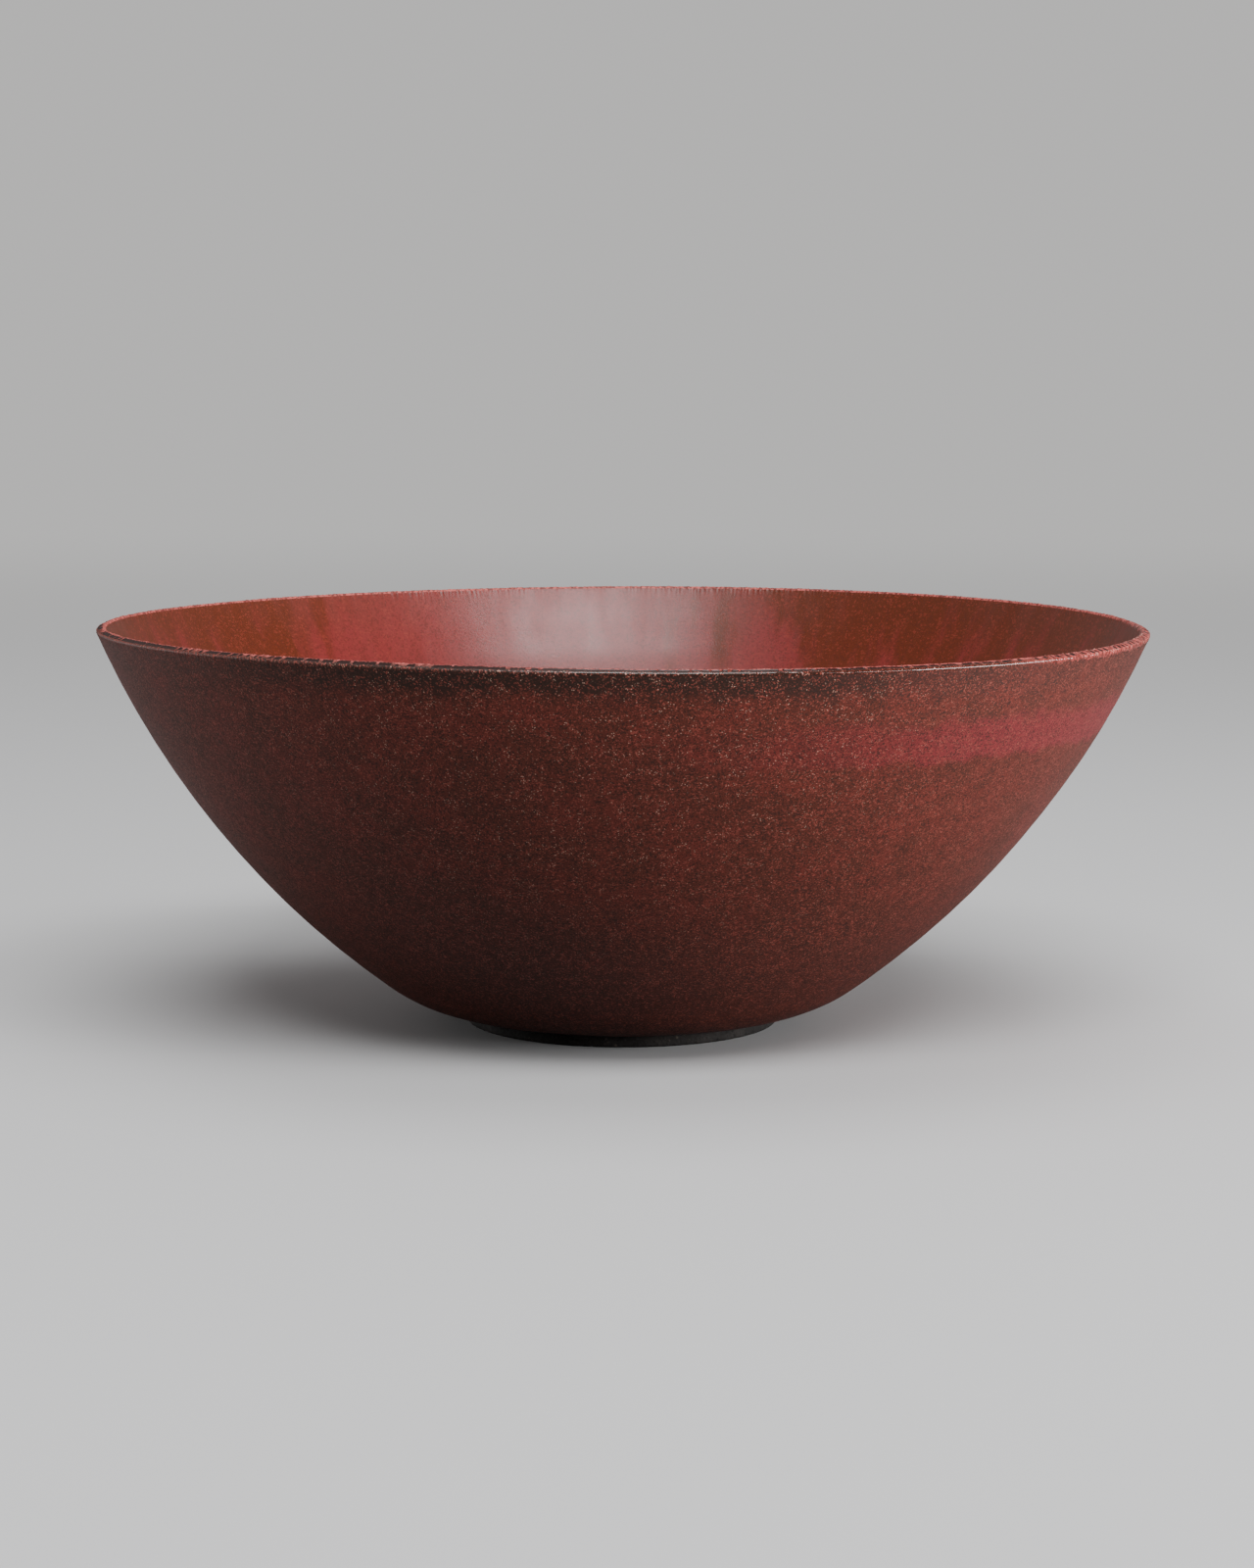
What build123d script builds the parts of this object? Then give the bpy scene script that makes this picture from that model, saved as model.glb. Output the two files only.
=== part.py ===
from build123d import *
from math import cos, radians, sin
import os

# A thin-walled coated bowl on a low foot ring. The origin is the middle of the foot's rest face, +Z up.
# Sizes are fired sizes in millimetres, and angles are in degrees.

# Overall form, measured over the coats
rim_radius = 100.0
bowl_height = 77.0
rim_angle = 66.8

# Lip, cut square to the leaning wall and softened along both edges
lip_thickness = 1.8
lip_edge_cut = 0.5

# Heel, where the wall turns in towards the foot
heel_radius = 46.0
heel_height = 8.3

# Wall and floor, measured over the coats
low_wall_thickness = 3.9
floor_thickness = 3.7
floor_turn_share = 0.12
turn_reach_share = 0.20
floor_reach_share = 0.52

# Foot ring, luted under the floor
foot_radius = 30.0
foot_height = 2.4
foot_width = 4.4
foot_draft = 0.2
foot_edge_cut = 0.6
recess_rise = 0.5

# Fired coats
coat_thickness = 0.25
lip_coat_depth = 2.8


def spot(radius, height):
    """A point of an outline, at a radius from the axis and a height above the table."""
    return Vector(radius, 0, height)


# Directions up along the wall at the lip, and inward across it
wall_rise = Vector(cos(radians(rim_angle)), 0, sin(radians(rim_angle)))
wall_inward = Vector(-sin(radians(rim_angle)), 0, cos(radians(rim_angle)))

# The lip's outside edge is the widest place, and the inside edge of its top is the highest
lip_top = wall_rise * lip_edge_cut + wall_inward * (lip_thickness - lip_edge_cut)
lip_edge = spot(rim_radius, bowl_height - lip_top.Z)

# Shared places on the foot and the floor
foot_top_radius = foot_radius + foot_draft
recess_radius = foot_radius - foot_width
foot_top = spot(foot_top_radius, foot_height)
recess_edge = spot(recess_radius, foot_height)
recess_middle = spot(0, foot_height + recess_rise)
floor_middle = recess_middle + Vector(0, 0, floor_thickness)

# The photographed outline: one long arc down the wall, and one tighter arc round the heel
wall_arc = TangentArc(lip_edge, spot(heel_radius, heel_height), tangent=-wall_rise)
heel_arc = TangentArc(wall_arc @ 1, foot_top, tangent=wall_arc % 1)

# Shares of the wall, counted down from the lip: the end of the lip's coat, and the turn into the floor
band_share = lip_coat_depth / wall_arc.length
turn_share = 1 - floor_turn_share
band_thickness = lip_thickness + (low_wall_thickness - lip_thickness) * band_share / turn_share


def layer(arc, first_share, last_share, first_depth, last_depth):
    """The arc that lies inside a stretch of a downward arc, at a depth that changes evenly along it."""
    middle_share = (first_share + last_share) / 2
    middle_depth = (first_depth + last_depth) / 2
    places = ((first_share, first_depth), (middle_share, middle_depth), (last_share, last_depth))
    points = []
    for share, depth in places:
        heading = arc % share
        inward = Vector(heading.Z, 0, -heading.X)
        points.append((arc @ share) + inward * depth)
    return ThreePointArc(*points)


def outside(depth):
    """The outside from the foot up to the lip's coat, at a depth under the surface."""
    heel = layer(heel_arc, 1, 0, depth, depth)
    wall = layer(wall_arc, 1, band_share, depth, depth)
    return [heel, wall]


def over_the_lip(depth):
    """Up the last of the outside, across the square-cut top and down the first of the inside.

    The cuts along the two edges keep their places, so the coat draws thin over them, as a wet coat does.
    """
    cut = lip_edge_cut - depth
    outside_edge = lip_edge + wall_inward * depth
    inside_edge = lip_edge + wall_inward * (lip_thickness - depth)
    outside_top = outside_edge + (wall_rise + wall_inward) * cut
    inside_top = inside_edge + (wall_rise - wall_inward) * cut
    rise = layer(wall_arc, band_share, 0, depth, depth)
    lip = Polyline(outside_edge, outside_top, inside_top, inside_edge)
    fall = layer(wall_arc, 0, band_share, lip_thickness - depth, band_thickness - depth)
    return [rise, lip, fall]


def inside(depth):
    """The inside from the lip's coat to the middle of the floor, at a depth under the surface.

    The wall thickens evenly down to the turn, and a smooth curve carries it on to a level floor.
    """
    wall = layer(wall_arc, band_share, turn_share, band_thickness - depth, low_wall_thickness - depth)
    turn = wall @ 1
    middle = floor_middle - Vector(0, 0, depth)
    turn_pull = turn + (wall % 1) * (turn.X * turn_reach_share)
    floor_pull = middle + Vector(turn.X * floor_reach_share, 0, 0)
    return [wall, Bezier(turn, turn_pull, floor_pull, middle)]


def turned(lines):
    """The solid swept out by a closed outline that turns once about the axis."""
    return revolve(make_face(lines), axis=Axis.Z)


def make_clay_body():
    """The thrown wall and floor, with the seat for the foot ring and the shallow recess inside it."""
    skin = [*outside(coat_thickness), *over_the_lip(coat_thickness), *inside(coat_thickness)]
    axis_line = Line(skin[-1] @ 1, recess_middle)
    recess = TangentArc(recess_middle, recess_edge, tangent=Vector(1, 0, 0))
    seat = Line(recess_edge, foot_top)
    collar = Line(foot_top, skin[0] @ 0)
    return turned([*skin, axis_line, recess, seat, collar])


def make_foot_ring():
    """The ring under the floor: its sides draw in a little downwards, and its rest edges are softened."""
    rest_outside = spot(foot_radius, 0)
    rest_inside = spot(recess_radius + foot_draft, 0)
    ring = turned([Polyline(foot_top, rest_outside, rest_inside, recess_edge, foot_top)])
    rest_edges = ring.edges().group_by(Axis.Z)[0]
    return chamfer(rest_edges, foot_edge_cut)


def make_coat(stretch):
    """The fired coat over one stretch of the clay, with its two ends square to the surface."""
    surface = stretch(0)
    clay_side = stretch(coat_thickness)
    first_end = Line(surface[0] @ 0, clay_side[0] @ 0)
    last_end = Line(surface[-1] @ 1, clay_side[-1] @ 1)
    return turned([*surface, last_end, *clay_side, first_end])


pieces = {
    "clay_body": make_clay_body(),
    "foot_ring": make_foot_ring(),
    "outer_slip": make_coat(outside),
    "inner_slip": make_coat(inside),
    "lip_slip": make_coat(over_the_lip),
}

os.makedirs("parts", exist_ok=True)
for name, shape in pieces.items():
    export_step(shape, f"parts/{name}.step")
    print(name, "volume", round(shape.volume, 1), "cubic mm")
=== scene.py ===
# %% [markdown]
# # A thrown bowl with a mottled red coat
# The bowl is five pieces, as a potter would name them: the clay body, the foot ring under it, and
# the fired coats on the outside, on the inside and over the lip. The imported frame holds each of
# them at its real size, as a plain turned solid. This lesson gives every one a finer surface that
# follows the same outline, and a finish built from shader nodes. Lengths are in metres, as in the
# frame.

# %% Load the frame
import math
import bpy
import numpy as np
from mathutils import Euler, Matrix, Vector


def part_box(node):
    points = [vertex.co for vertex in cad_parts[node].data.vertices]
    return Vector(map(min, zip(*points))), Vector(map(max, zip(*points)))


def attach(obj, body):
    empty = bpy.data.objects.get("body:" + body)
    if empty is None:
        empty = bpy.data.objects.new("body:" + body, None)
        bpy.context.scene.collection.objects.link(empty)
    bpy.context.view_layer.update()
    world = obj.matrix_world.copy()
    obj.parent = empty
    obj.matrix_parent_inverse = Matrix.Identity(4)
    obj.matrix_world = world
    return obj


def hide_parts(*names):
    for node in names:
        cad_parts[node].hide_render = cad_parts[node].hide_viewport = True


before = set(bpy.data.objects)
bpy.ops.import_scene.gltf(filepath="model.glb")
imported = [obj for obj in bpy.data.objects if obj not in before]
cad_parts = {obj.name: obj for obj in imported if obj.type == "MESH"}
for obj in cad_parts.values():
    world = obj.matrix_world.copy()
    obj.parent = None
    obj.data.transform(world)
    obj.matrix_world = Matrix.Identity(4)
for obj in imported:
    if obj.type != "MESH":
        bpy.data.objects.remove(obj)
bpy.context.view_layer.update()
mm = 0.001
print("Frame nodes:", ", ".join(sorted(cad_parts)))

# %% [markdown]
# ## The camera
# The view is settled first, because every later choice is judged through it. The camera stands
# nine bowl heights away and a little above the rim, so the far inside shows as a thin bright
# crescent. It could stand nearer with a shorter lens, but that would open the ellipse of the rim
# and swell the near wall. The tiny roll drops the right end of the rim slightly.

# %% Place the camera
camera_place = (0.00083, -0.700, 0.1323)
camera_tilt_down = 0.1229
camera_roll = 0.0036
lens_length = 84.0

camera_data = bpy.data.cameras.new("camera")
camera_data.lens = lens_length
camera = bpy.data.objects.new("camera", camera_data)
turn = (Euler((math.pi / 2 - camera_tilt_down, 0, 0)).to_matrix()
        @ Matrix.Rotation(camera_roll, 3, "Z"))
camera.matrix_world = Matrix.Translation(camera_place) @ turn.to_4x4()
bpy.context.scene.collection.objects.link(camera)
bpy.context.scene.camera = camera
print("Camera", round(Vector(camera_place).length, 3), "m from the foot")

# %% [markdown]
# ## Half an outline is enough
# A thrown bowl is round about one axis, so half of its outline says nearly everything about it.
# An outline point is written as one complex number, radius + height·i. Turning a heading is then
# a product, and a whole arc is one short formula. The rim's radius, the height and the foot come
# from the frame. The rest are the potter's own sizes.

# %% Main sizes
lip_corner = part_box("lip_slip")[1]
foot_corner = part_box("foot_ring")[1]
rim_radius, bowl_height = lip_corner[0], lip_corner[2]
foot_top = foot_corner[0] + 1j * foot_corner[2]

rim_angle = math.radians(66.8)
lip_thickness = 1.8 * mm
lip_round = 0.5 * mm
heel = (46.0 + 8.3j) * mm
coat_thickness = 0.25 * mm
lip_coat_depth = 2.8 * mm

wall_rise = np.exp(1j * rim_angle)
wall_inward = 1j * wall_rise
lip_top = wall_rise * lip_round + wall_inward * (lip_thickness - lip_round)
lip_edge = rim_radius + 1j * (bowl_height - lip_top.imag)
print("Rim radius", round(rim_radius / mm, 2), "mm, height", round(bowl_height / mm, 2), "mm")


# %% An arc from its ends and its first heading
def arc(start, heading, end, share):
    """Points and headings at shares, 0 to 1, of the arc that leaves `start` with a unit heading.

    The chord makes half of the arc's turn with the first heading. So the turn is twice that angle,
    and the curvature is twice its sine over the chord's length. The heading at a share is the first
    one turned by that share of the turn, and the point is the start plus the headings summed.
    """
    chord = end - start
    half_turn = np.angle(chord / heading)
    curvature = 2 * np.sin(half_turn) / abs(chord)
    headings = heading * np.exp(2j * half_turn * share)
    return start + (headings - heading) / (1j * curvature), headings


def arc_length(start, heading, end):
    """The arc's length: its turn over its curvature."""
    half_turn = np.angle((end - start) / heading)
    return abs(end - start) * half_turn / np.sin(half_turn)


wall_length = arc_length(lip_edge, -wall_rise, heel)
heel_heading = arc(lip_edge, -wall_rise, heel, 1.0)[1]
heel_length = arc_length(heel, heel_heading, foot_top)
outside_length = wall_length + heel_length
print("Wall", round(wall_length / mm, 1), "mm along its curve, heel",
      round(heel_length / mm, 1), "mm")

# %% [markdown]
# ## The outside and the inside
# The photographed outline is one long arc down the wall and one tighter arc round the heel. The
# inside follows the same wall arc, set in by a wall that thickens evenly on its way down, because
# a thrower leaves more clay low in the wall to carry it. A Bezier curve then carries the inside
# on to a level floor. Both are functions of the distance down from the lip, so coats and clay
# share them: the clay side of a coat is the same curve at another depth.

# %% The outside
def outside(run, depth=0.0):
    """Points and free-side normals at distances `run` down the outside, at a depth under it.

    The wall's arc down to the heel, and the heel's arc from there. A normal is the heading turned
    a quarter to the free side, and a point is the arc's less the normal times the depth.
    """
    wall, wall_headings = arc(lip_edge, -wall_rise, heel, np.minimum(run / wall_length, 1))
    heel_share = np.clip((run - wall_length) / heel_length, 0, 1)
    low, low_headings = arc(heel, heel_heading, foot_top, heel_share)
    on_wall = run < wall_length
    normal = 1j * np.where(on_wall, wall_headings, low_headings)
    return np.where(on_wall, wall, low) - normal * depth, normal


print("The outside ends", round(float(outside(outside_length)[0].real) / mm, 2), "mm from the axis")

# %% The inside
low_wall_thickness = 3.9 * mm
floor_thickness = 3.7 * mm
recess_rise = 0.5 * mm
floor_turn_share = 0.12
turn_reach_share = 0.20
floor_reach_share = 0.52
turn_run = wall_length * (1 - floor_turn_share)
recess_height = foot_top.imag + recess_rise
floor_height = recess_height + floor_thickness


def inside_wall(run, depth):
    """The wall arc set in by its thickness less the depth; it thickens evenly down to the turn."""
    wall, headings = arc(lip_edge, -wall_rise, heel, run / wall_length)
    thickness = lip_thickness + (low_wall_thickness - lip_thickness) * run / turn_run
    return wall - 1j * headings * (thickness - depth)


def inside_floor(share, depth):
    """A cubic Bezier curve from the turn, along the wall's heading, to the floor's middle."""
    turn_point = inside_wall(turn_run, depth)
    heading = turn_point - inside_wall(turn_run - mm, depth)
    heading = heading / abs(heading)
    middle = 1j * (floor_height - depth)
    wall_pull = turn_point + heading * turn_point.real * turn_reach_share
    floor_pull = middle + turn_point.real * floor_reach_share
    rest = 1 - share
    return (rest**3 * turn_point + 3 * rest**2 * share * wall_pull
            + 3 * rest * share**2 * floor_pull + share**3 * middle)


floor_length = np.abs(np.diff(inside_floor(np.linspace(0, 1, 200), 0.0))).sum()
inside_length = turn_run + floor_length


def inside(run, depth=0.0):
    """Points and free-side normals at distances `run` down the inside, to the floor's middle.

    The set-in wall down to the turn, and the floor's curve from there. A heading goes from each
    point's neighbour before it to the one after it, and a normal is that turned a quarter.
    """
    wall = inside_wall(np.minimum(run, turn_run), depth)
    floor = inside_floor(np.clip((run - turn_run) / floor_length, 0, 1), depth)
    points = np.where(run < turn_run, wall, floor)
    headings = np.gradient(points, axis=-1)
    return points, -1j * headings / np.abs(headings)


print("Inside", round(inside_length / mm, 1), "mm from the lip to the middle of the floor")

# %% [markdown]
# ## What the wheel and the kiln leave
# No fired bowl is perfectly round. This one's rim rises and falls by a third of a millimetre,
# twice round, as a rim does when it dries unevenly. The walls keep a faint spiral from the
# fingers or the turning tool. Finer unevenness could come from a noise texture, but here it is a
# sum of cosines with whole numbers of waves around, so it always closes without a seam. Fixed
# seeds make it the same in every run.

# %% Unevenness as formulas
rim_saddle_height = 0.31 * mm
rim_saddle_drop = 0.113 * mm
outside_spiral_height, outside_spiral_pitch = 0.012 * mm, 6.5 * mm
inside_spiral_height, inside_spiral_growth, inside_spiral_pitch = 0.012 * mm, 0.035 * mm, 9.0 * mm
slow_unevenness = 0.02 * mm


def saddle(around, height):
    """How far a point is lifted: two waves round the rim, fading with the square of the height."""
    waves = rim_saddle_height * np.sin(2 * around) - rim_saddle_drop * np.cos(2 * around)
    return waves * (height / bowl_height) ** 2


def ripple(around, run, waves_around, waves_per_metre, seed, count=48):
    """A smooth random field of unit spread: cosines of whole waves around and any number along."""
    draw = np.random.default_rng(seed)
    whole = draw.integers(*waves_around, count)
    along = draw.uniform(-1, 1, count) * waves_per_metre * 2 * np.pi
    start = draw.uniform(0, 2 * np.pi, count)
    field = sum(np.cos(n * around + k * run + s) for n, k, s in zip(whole, along, start))
    return field / math.sqrt(count / 2)


def finger_spiral(around, run, pitch):
    """A spiral ridge: its phase gains one wave per pitch down the wall and one wave per turn."""
    return np.cos(2 * np.pi * run / pitch - around)


def outside_relief(around, run):
    """The outside was turned smooth: a barely felt spiral and a slow unevenness."""
    spiral = outside_spiral_height * finger_spiral(around, run, outside_spiral_pitch)
    return spiral + slow_unevenness * ripple(around, run, (2, 14), 40, 3)


def inside_relief(around, run):
    """The inside keeps more of the fingers low down, where the rib has pressed less.

    The spiral fades out over the last 10 mm before the floor's middle, the unevenness over 30 mm.
    """
    low = np.clip(run / turn_run, 0, 1)
    to_middle = inside_length - run
    spiral_height = inside_spiral_height + inside_spiral_growth * low
    spiral = spiral_height * finger_spiral(around, run, inside_spiral_pitch)
    uneven = slow_unevenness * ripple(around, run, (2, 12), 40, 4)
    spiral = spiral * np.clip(to_middle / (10 * mm), 0, 1) ** 2
    return spiral + uneven * np.clip(to_middle / (30 * mm), 0, 1) ** 2


rim_rise = math.hypot(rim_saddle_height, rim_saddle_drop)
print("The rim rises and falls by", round(rim_rise / mm, 2), "mm")

# %% [markdown]
# ## From a half outline to a closed mesh
# Every piece is the same kind of grid: angles around by places along the outline. A ring closes
# in both directions. A body that meets the axis ends in two poles, each one shared point with a
# fan of triangles. The Screw modifier could spin an outline too, but it would leave no place for
# an unevenness that changes on the way round. Building the faces as whole index arrays avoids any
# loop over points. The signed volume says whether the faces look outwards, and if it is negative
# every face is turned over.

# %% Faces for a grid
def signed_volume(points, triangles):
    """The sum over triangles of the box product of their corners, over six."""
    a, b, c = (points[triangles[:, k]] for k in range(3))
    return np.einsum("ij,ij->i", a, np.cross(b, c)).sum() / 6


def grid_faces(around_count, along_count, closed):
    """Quads between neighbouring places, and triangles from the end columns to two poles."""
    index = np.arange(around_count * along_count).reshape(around_count, along_count)
    beside = np.roll(index, -1, axis=0)
    if closed:
        after, beside_after = np.roll(index, -1, axis=1), np.roll(beside, -1, axis=1)
        quads = np.stack([index, after, beside_after, beside], axis=-1).reshape(-1, 4)
        return quads, np.empty((0, 3), int)
    corners = [index[:, :-1], index[:, 1:], beside[:, 1:], beside[:, :-1]]
    quads = np.stack(corners, axis=-1).reshape(-1, 4)
    first_pole = np.full(around_count, index.size)
    first_fan = np.stack([first_pole, index[:, 0], beside[:, 0]], axis=-1)
    last_fan = np.stack([first_pole + 1, beside[:, -1], index[:, -1]], axis=-1)
    return quads, np.vstack([first_fan, last_fan])


print("A ring of 4 by 3 places has", len(grid_faces(4, 3, True)[0]), "faces")

# %% A closed mesh from an outline
sharp_angle = math.radians(60)


def turned_piece(name, around, outline, closed, **fields):
    """A closed mesh from outline points [around, along], with named values stored on its points.

    x and y are the radius times the cosine and sine of the angle, and z is the height plus the
    saddle. The first and last places of an outline that isn't closed lie on the axis and become the
    poles.
    """
    height = outline.imag + saddle(around, outline.imag)
    grid = np.stack([outline.real * np.cos(around), outline.real * np.sin(around), height], axis=-1)
    fields = {key: np.broadcast_to(value, outline.shape) for key, value in fields.items()}
    if closed:
        points = grid.reshape(-1, 3)
        fields = {key: value.ravel() for key, value in fields.items()}
    else:
        points = np.vstack([grid[:, 1:-1].reshape(-1, 3), grid[0, [0, -1]]])
        fields = {key: np.append(value[:, 1:-1].ravel(), value[0, [0, -1]])
                  for key, value in fields.items()}
    along_count = outline.shape[1] if closed else outline.shape[1] - 2
    quads, fans = grid_faces(outline.shape[0], along_count, closed)
    triangles = np.vstack([quads[:, [0, 1, 2]], quads[:, [0, 2, 3]], fans])
    volume = signed_volume(points, triangles)
    if volume < 0:
        quads, fans = quads[:, ::-1], fans[:, ::-1]

    mesh = bpy.data.meshes.new(name)
    mesh.vertices.add(len(points))
    mesh.vertices.foreach_set("co", points.astype(np.float32).ravel())
    mesh.loops.add(quads.size + fans.size)
    corners = np.concatenate([quads.ravel(), fans.ravel()])
    mesh.loops.foreach_set("vertex_index", corners.astype(np.int32))
    mesh.polygons.add(len(quads) + len(fans))
    starts = np.concatenate([4 * np.arange(len(quads)), quads.size + 3 * np.arange(len(fans))])
    mesh.polygons.foreach_set("loop_start", starts.astype(np.int32))
    mesh.update(calc_edges=True)
    mesh.shade_smooth()
    mesh.set_sharp_from_angle(angle=sharp_angle)
    for key, value in fields.items():
        attribute = mesh.attributes.new(key, "FLOAT", "POINT")
        attribute.data.foreach_set("value", value.astype(np.float32))
    piece = bpy.data.objects.new(name, mesh)
    bpy.context.scene.collection.objects.link(piece)
    print(name, "has", len(triangles), "triangles and holds",
          round(abs(volume) * 1e6, 2), "cubic cm")
    return piece


def circle(count):
    """Even angles once round, as a column that pairs with a row of places along an outline."""
    return np.linspace(0, 2 * np.pi, count, endpoint=False)[:, None]


# %% [markdown]
# ## The outer coat
# The coat on the outside is a thin shell: its free side carries the relief, and its back lies on
# the clay. It could be a single sheet, but a closed shell has a real thickness wherever it ends,
# such as just above the foot. It stores each point's distance below the lip, which the finish
# reads later.

# %% Make the outer coat
outer_around = circle(720)
outer_run = np.linspace(lip_coat_depth, outside_length, 112)[None, :]
outer_back_run = np.linspace(outside_length, lip_coat_depth, 20)[None, :]
outer_points, outer_normals = outside(outer_run)
outer_face = outer_points + outer_normals * outside_relief(outer_around, outer_run)
outer_back = outside(outer_back_run, coat_thickness)[0] + 0 * outer_around
outer_coat = turned_piece("outer_coat", outer_around, np.hstack([outer_face, outer_back]), True,
                          below_lip=np.hstack([outer_run, outer_back_run]))

# %% [markdown]
# ## The inner coat
# The inside is one sweep from the lip to the middle of the floor, where the spiral of the fingers
# dies out. Solidify could give a sheet its thickness, but the back has to lie on the clay
# exactly, so it is the same curve at another depth. The outline starts and ends on the axis: up
# the free side from the middle to the lip's coat, and back down along the clay.

# %% Make the inner coat
inner_around = circle(720)
inner_run = np.linspace(inside_length, lip_coat_depth, 110)[None, :]
inner_back_run = np.linspace(lip_coat_depth, inside_length, 22)[None, :]
inner_points, inner_normals = inside(inner_run[:, ::-1])
inner_points, inner_normals = inner_points[:, ::-1], inner_normals[:, ::-1]
inner_face = inner_points + inner_normals * inside_relief(inner_around, inner_run)
inner_back = inside(inner_back_run, coat_thickness)[0] + 0 * inner_around
inner_coat = turned_piece("inner_coat", inner_around, np.hstack([inner_face, inner_back]), False,
                          below_lip=np.hstack([inner_run, inner_back_run]))

# %% [markdown]
# ## The lip
# The lip is what the eye rests on. It is cut square to the leaning wall, and the wet coat has
# rounded both edges and sunk a little between them, so a dark line runs between two shiny ones.
# The small round of the outer edge catches the light as a thin bright line. Bevel could round the
# edges of a plain ring, but a formula also says how far across the lip each point lies, and
# everything the coat does later is laid over that.

# %% The lip's outline
def to_wall(local):
    """Turns across + up·i into the outline: across goes along the wall's inward, up its rise."""
    return local.real * wall_inward + local.imag * wall_rise


def lip_crown(depth, outer_count, top_count, inner_count):
    """Points, normals and shares across the lip's top at a depth: a round, a line, a round.

    Both rounds are centred one lip round in from the sides, and the line between them is level. The
    coat's own sag is added later, because it changes around the lip.
    """
    outer_normals = -np.exp(-1j * np.linspace(0, np.pi / 2, outer_count))
    inner_normals = 1j * np.exp(-1j * np.linspace(0, np.pi / 2, inner_count))
    top = np.linspace(lip_round, lip_thickness - lip_round, top_count + 2)[1:-1]
    radius = lip_round - depth
    outer = lip_round + radius * outer_normals
    inner = lip_thickness - lip_round + radius * inner_normals
    local = np.concatenate([outer, top + 1j * radius, inner])
    local_normals = np.concatenate([outer_normals, np.full(top_count, 1j), inner_normals])
    share = np.clip(local.real / lip_thickness, 0, 1)
    return lip_edge + to_wall(local), to_wall(local_normals), share


crown_points, crown_normals, crown_across = lip_crown(0.0, 10, 3, 5)
print("The lip's top has", len(crown_points), "places across it")

# %% [markdown]
# ## Where the coat crawled
# A coat that draws together as it melts is said to crawl. On this lip it lies calm and shiny
# along one stretch, fills the hollow along the next, stands thick there, and has crawled all the
# rest of the way round, into bridges over the hollow, beads along the edges and small bumps. A
# bump in the finish could fake all that, but it would be missing from the mesh. So each is a
# field of random waves that lifts the surface where it passes a level, and bells of the angle say
# which stretch is which.

# %% Calm, filled, thick and crawled stretches
calm_middle, calm_width = math.radians(-71.5), math.radians(29)
filled_middle, filled_width = math.radians(-25), math.radians(48)
thick_middle, thick_width = math.radians(-17), math.radians(27)


def bell(around, middle, width, power):
    """1 near the middle angle, 0 far from it: e to the minus (angle away / width) to the power."""
    away = (around - middle + np.pi) % (2 * np.pi) - np.pi
    return np.exp(-(away / width) ** power)


def crawled(around):
    """0 along the calm stretch and 1 elsewhere."""
    return 1 - bell(around, calm_middle, calm_width, 6)


crawled_share = float(crawled(circle(360)).mean())
print("The coat crawled along", round(100 * crawled_share), "percent of the lip")


# %% Bridges over the hollow
bridge_level, bridge_softness = 1.3, 0.7
gap_strength, filled_strength = 0.7, 1.3


def bridges(around, across):
    """From 0 to 1: where the coat crosses the hollow.

    Waves of 1.5 to 7 mm along the lip, plus slower ones that leave gaps, plus how far the stretch
    has crawled or filled, less a level. A smooth step turns that sum into a share.
    """
    field = ripple(around, across * lip_thickness, (90, 420), 120, 11, 64)
    gaps = ripple(around, 0 * across, (5, 40), 0, 12, 24)
    cover = crawled(around) + filled_strength * bell(around, filled_middle, filled_width, 4)
    share = np.clip((field + gap_strength * gaps - bridge_level + cover) / bridge_softness, 0, 1)
    return share * share * (3 - 2 * share)


bridged = bridges(circle(3000), 0.5).mean()
print("Bridges cover", round(100 * float(bridged)), "percent of the hollow's middle line")

# %% Beads and bumps
bead_level, crawled_bead_gain, bead_softness = 1.75, 0.65, 0.6
outer_bead_strength, outer_bead_place, outer_bead_width = 0.6, 0.10, 0.14
inner_bead_place, inner_bead_width = 0.90, 0.16
bead_fade, bump_fade = 0.15 * mm, 0.8 * mm
deepest_bump, highest_bump = -0.8, 2.0


def beads(around, across, run):
    """From 0 to 1: dots of a third of a millimetre along both edges, fewer on the outer one.

    How far waves of 0.4 to 1.3 mm pass a level, which is lower where the coat crawled, times a
    bell across each edge and a bell of the distance below it.
    """
    field = ripple(around, across * lip_thickness + run, (500, 1400), 1600, 14, 96)
    outer_bell = np.exp(-((across - outer_bead_place) / outer_bead_width) ** 2)
    inner_bell = np.exp(-((across - inner_bead_place) / inner_bead_width) ** 2)
    level = bead_level - crawled_bead_gain * crawled(around)
    edges = np.clip(outer_bead_strength * outer_bell + inner_bell, 0, 1)
    fade = edges * np.exp(-(run / bead_fade) ** 2)
    return np.clip((field - level) / bead_softness, 0, 1) * fade


def crawl_bumps(around, across, run):
    """Half millimetre bumps where the coat crawled, gone about a millimetre below the edges.

    Waves of 0.6 to 2.5 mm, cut off at both ends, times how far the stretch has crawled, times a
    bell of the distance below the edge.
    """
    field = ripple(around, across * lip_thickness + run, (250, 1000), 700, 15, 64)
    bumps = np.clip(field, deepest_bump, highest_bump)
    return bumps * crawled(around) * np.exp(-(run / bump_fade) ** 2)


outer_beads = beads(circle(3000), outer_bead_place, 0.0)
print("Beads cover", round(100 * float((outer_beads > 0).mean())), "percent of the outer edge")

# %% [markdown]
# ## The lip's coat, put together
# The face goes up the outside, round the outer edge, across the top, round the inner edge and
# down the inside, and every relief pushes it along its normals. The back is the clay's own
# outline. Only this piece needs three thousand places round, because a bead is a third of a
# millimetre wide. The fields are stored on the points, so that the finish can colour exactly what
# the shape shows.

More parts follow.
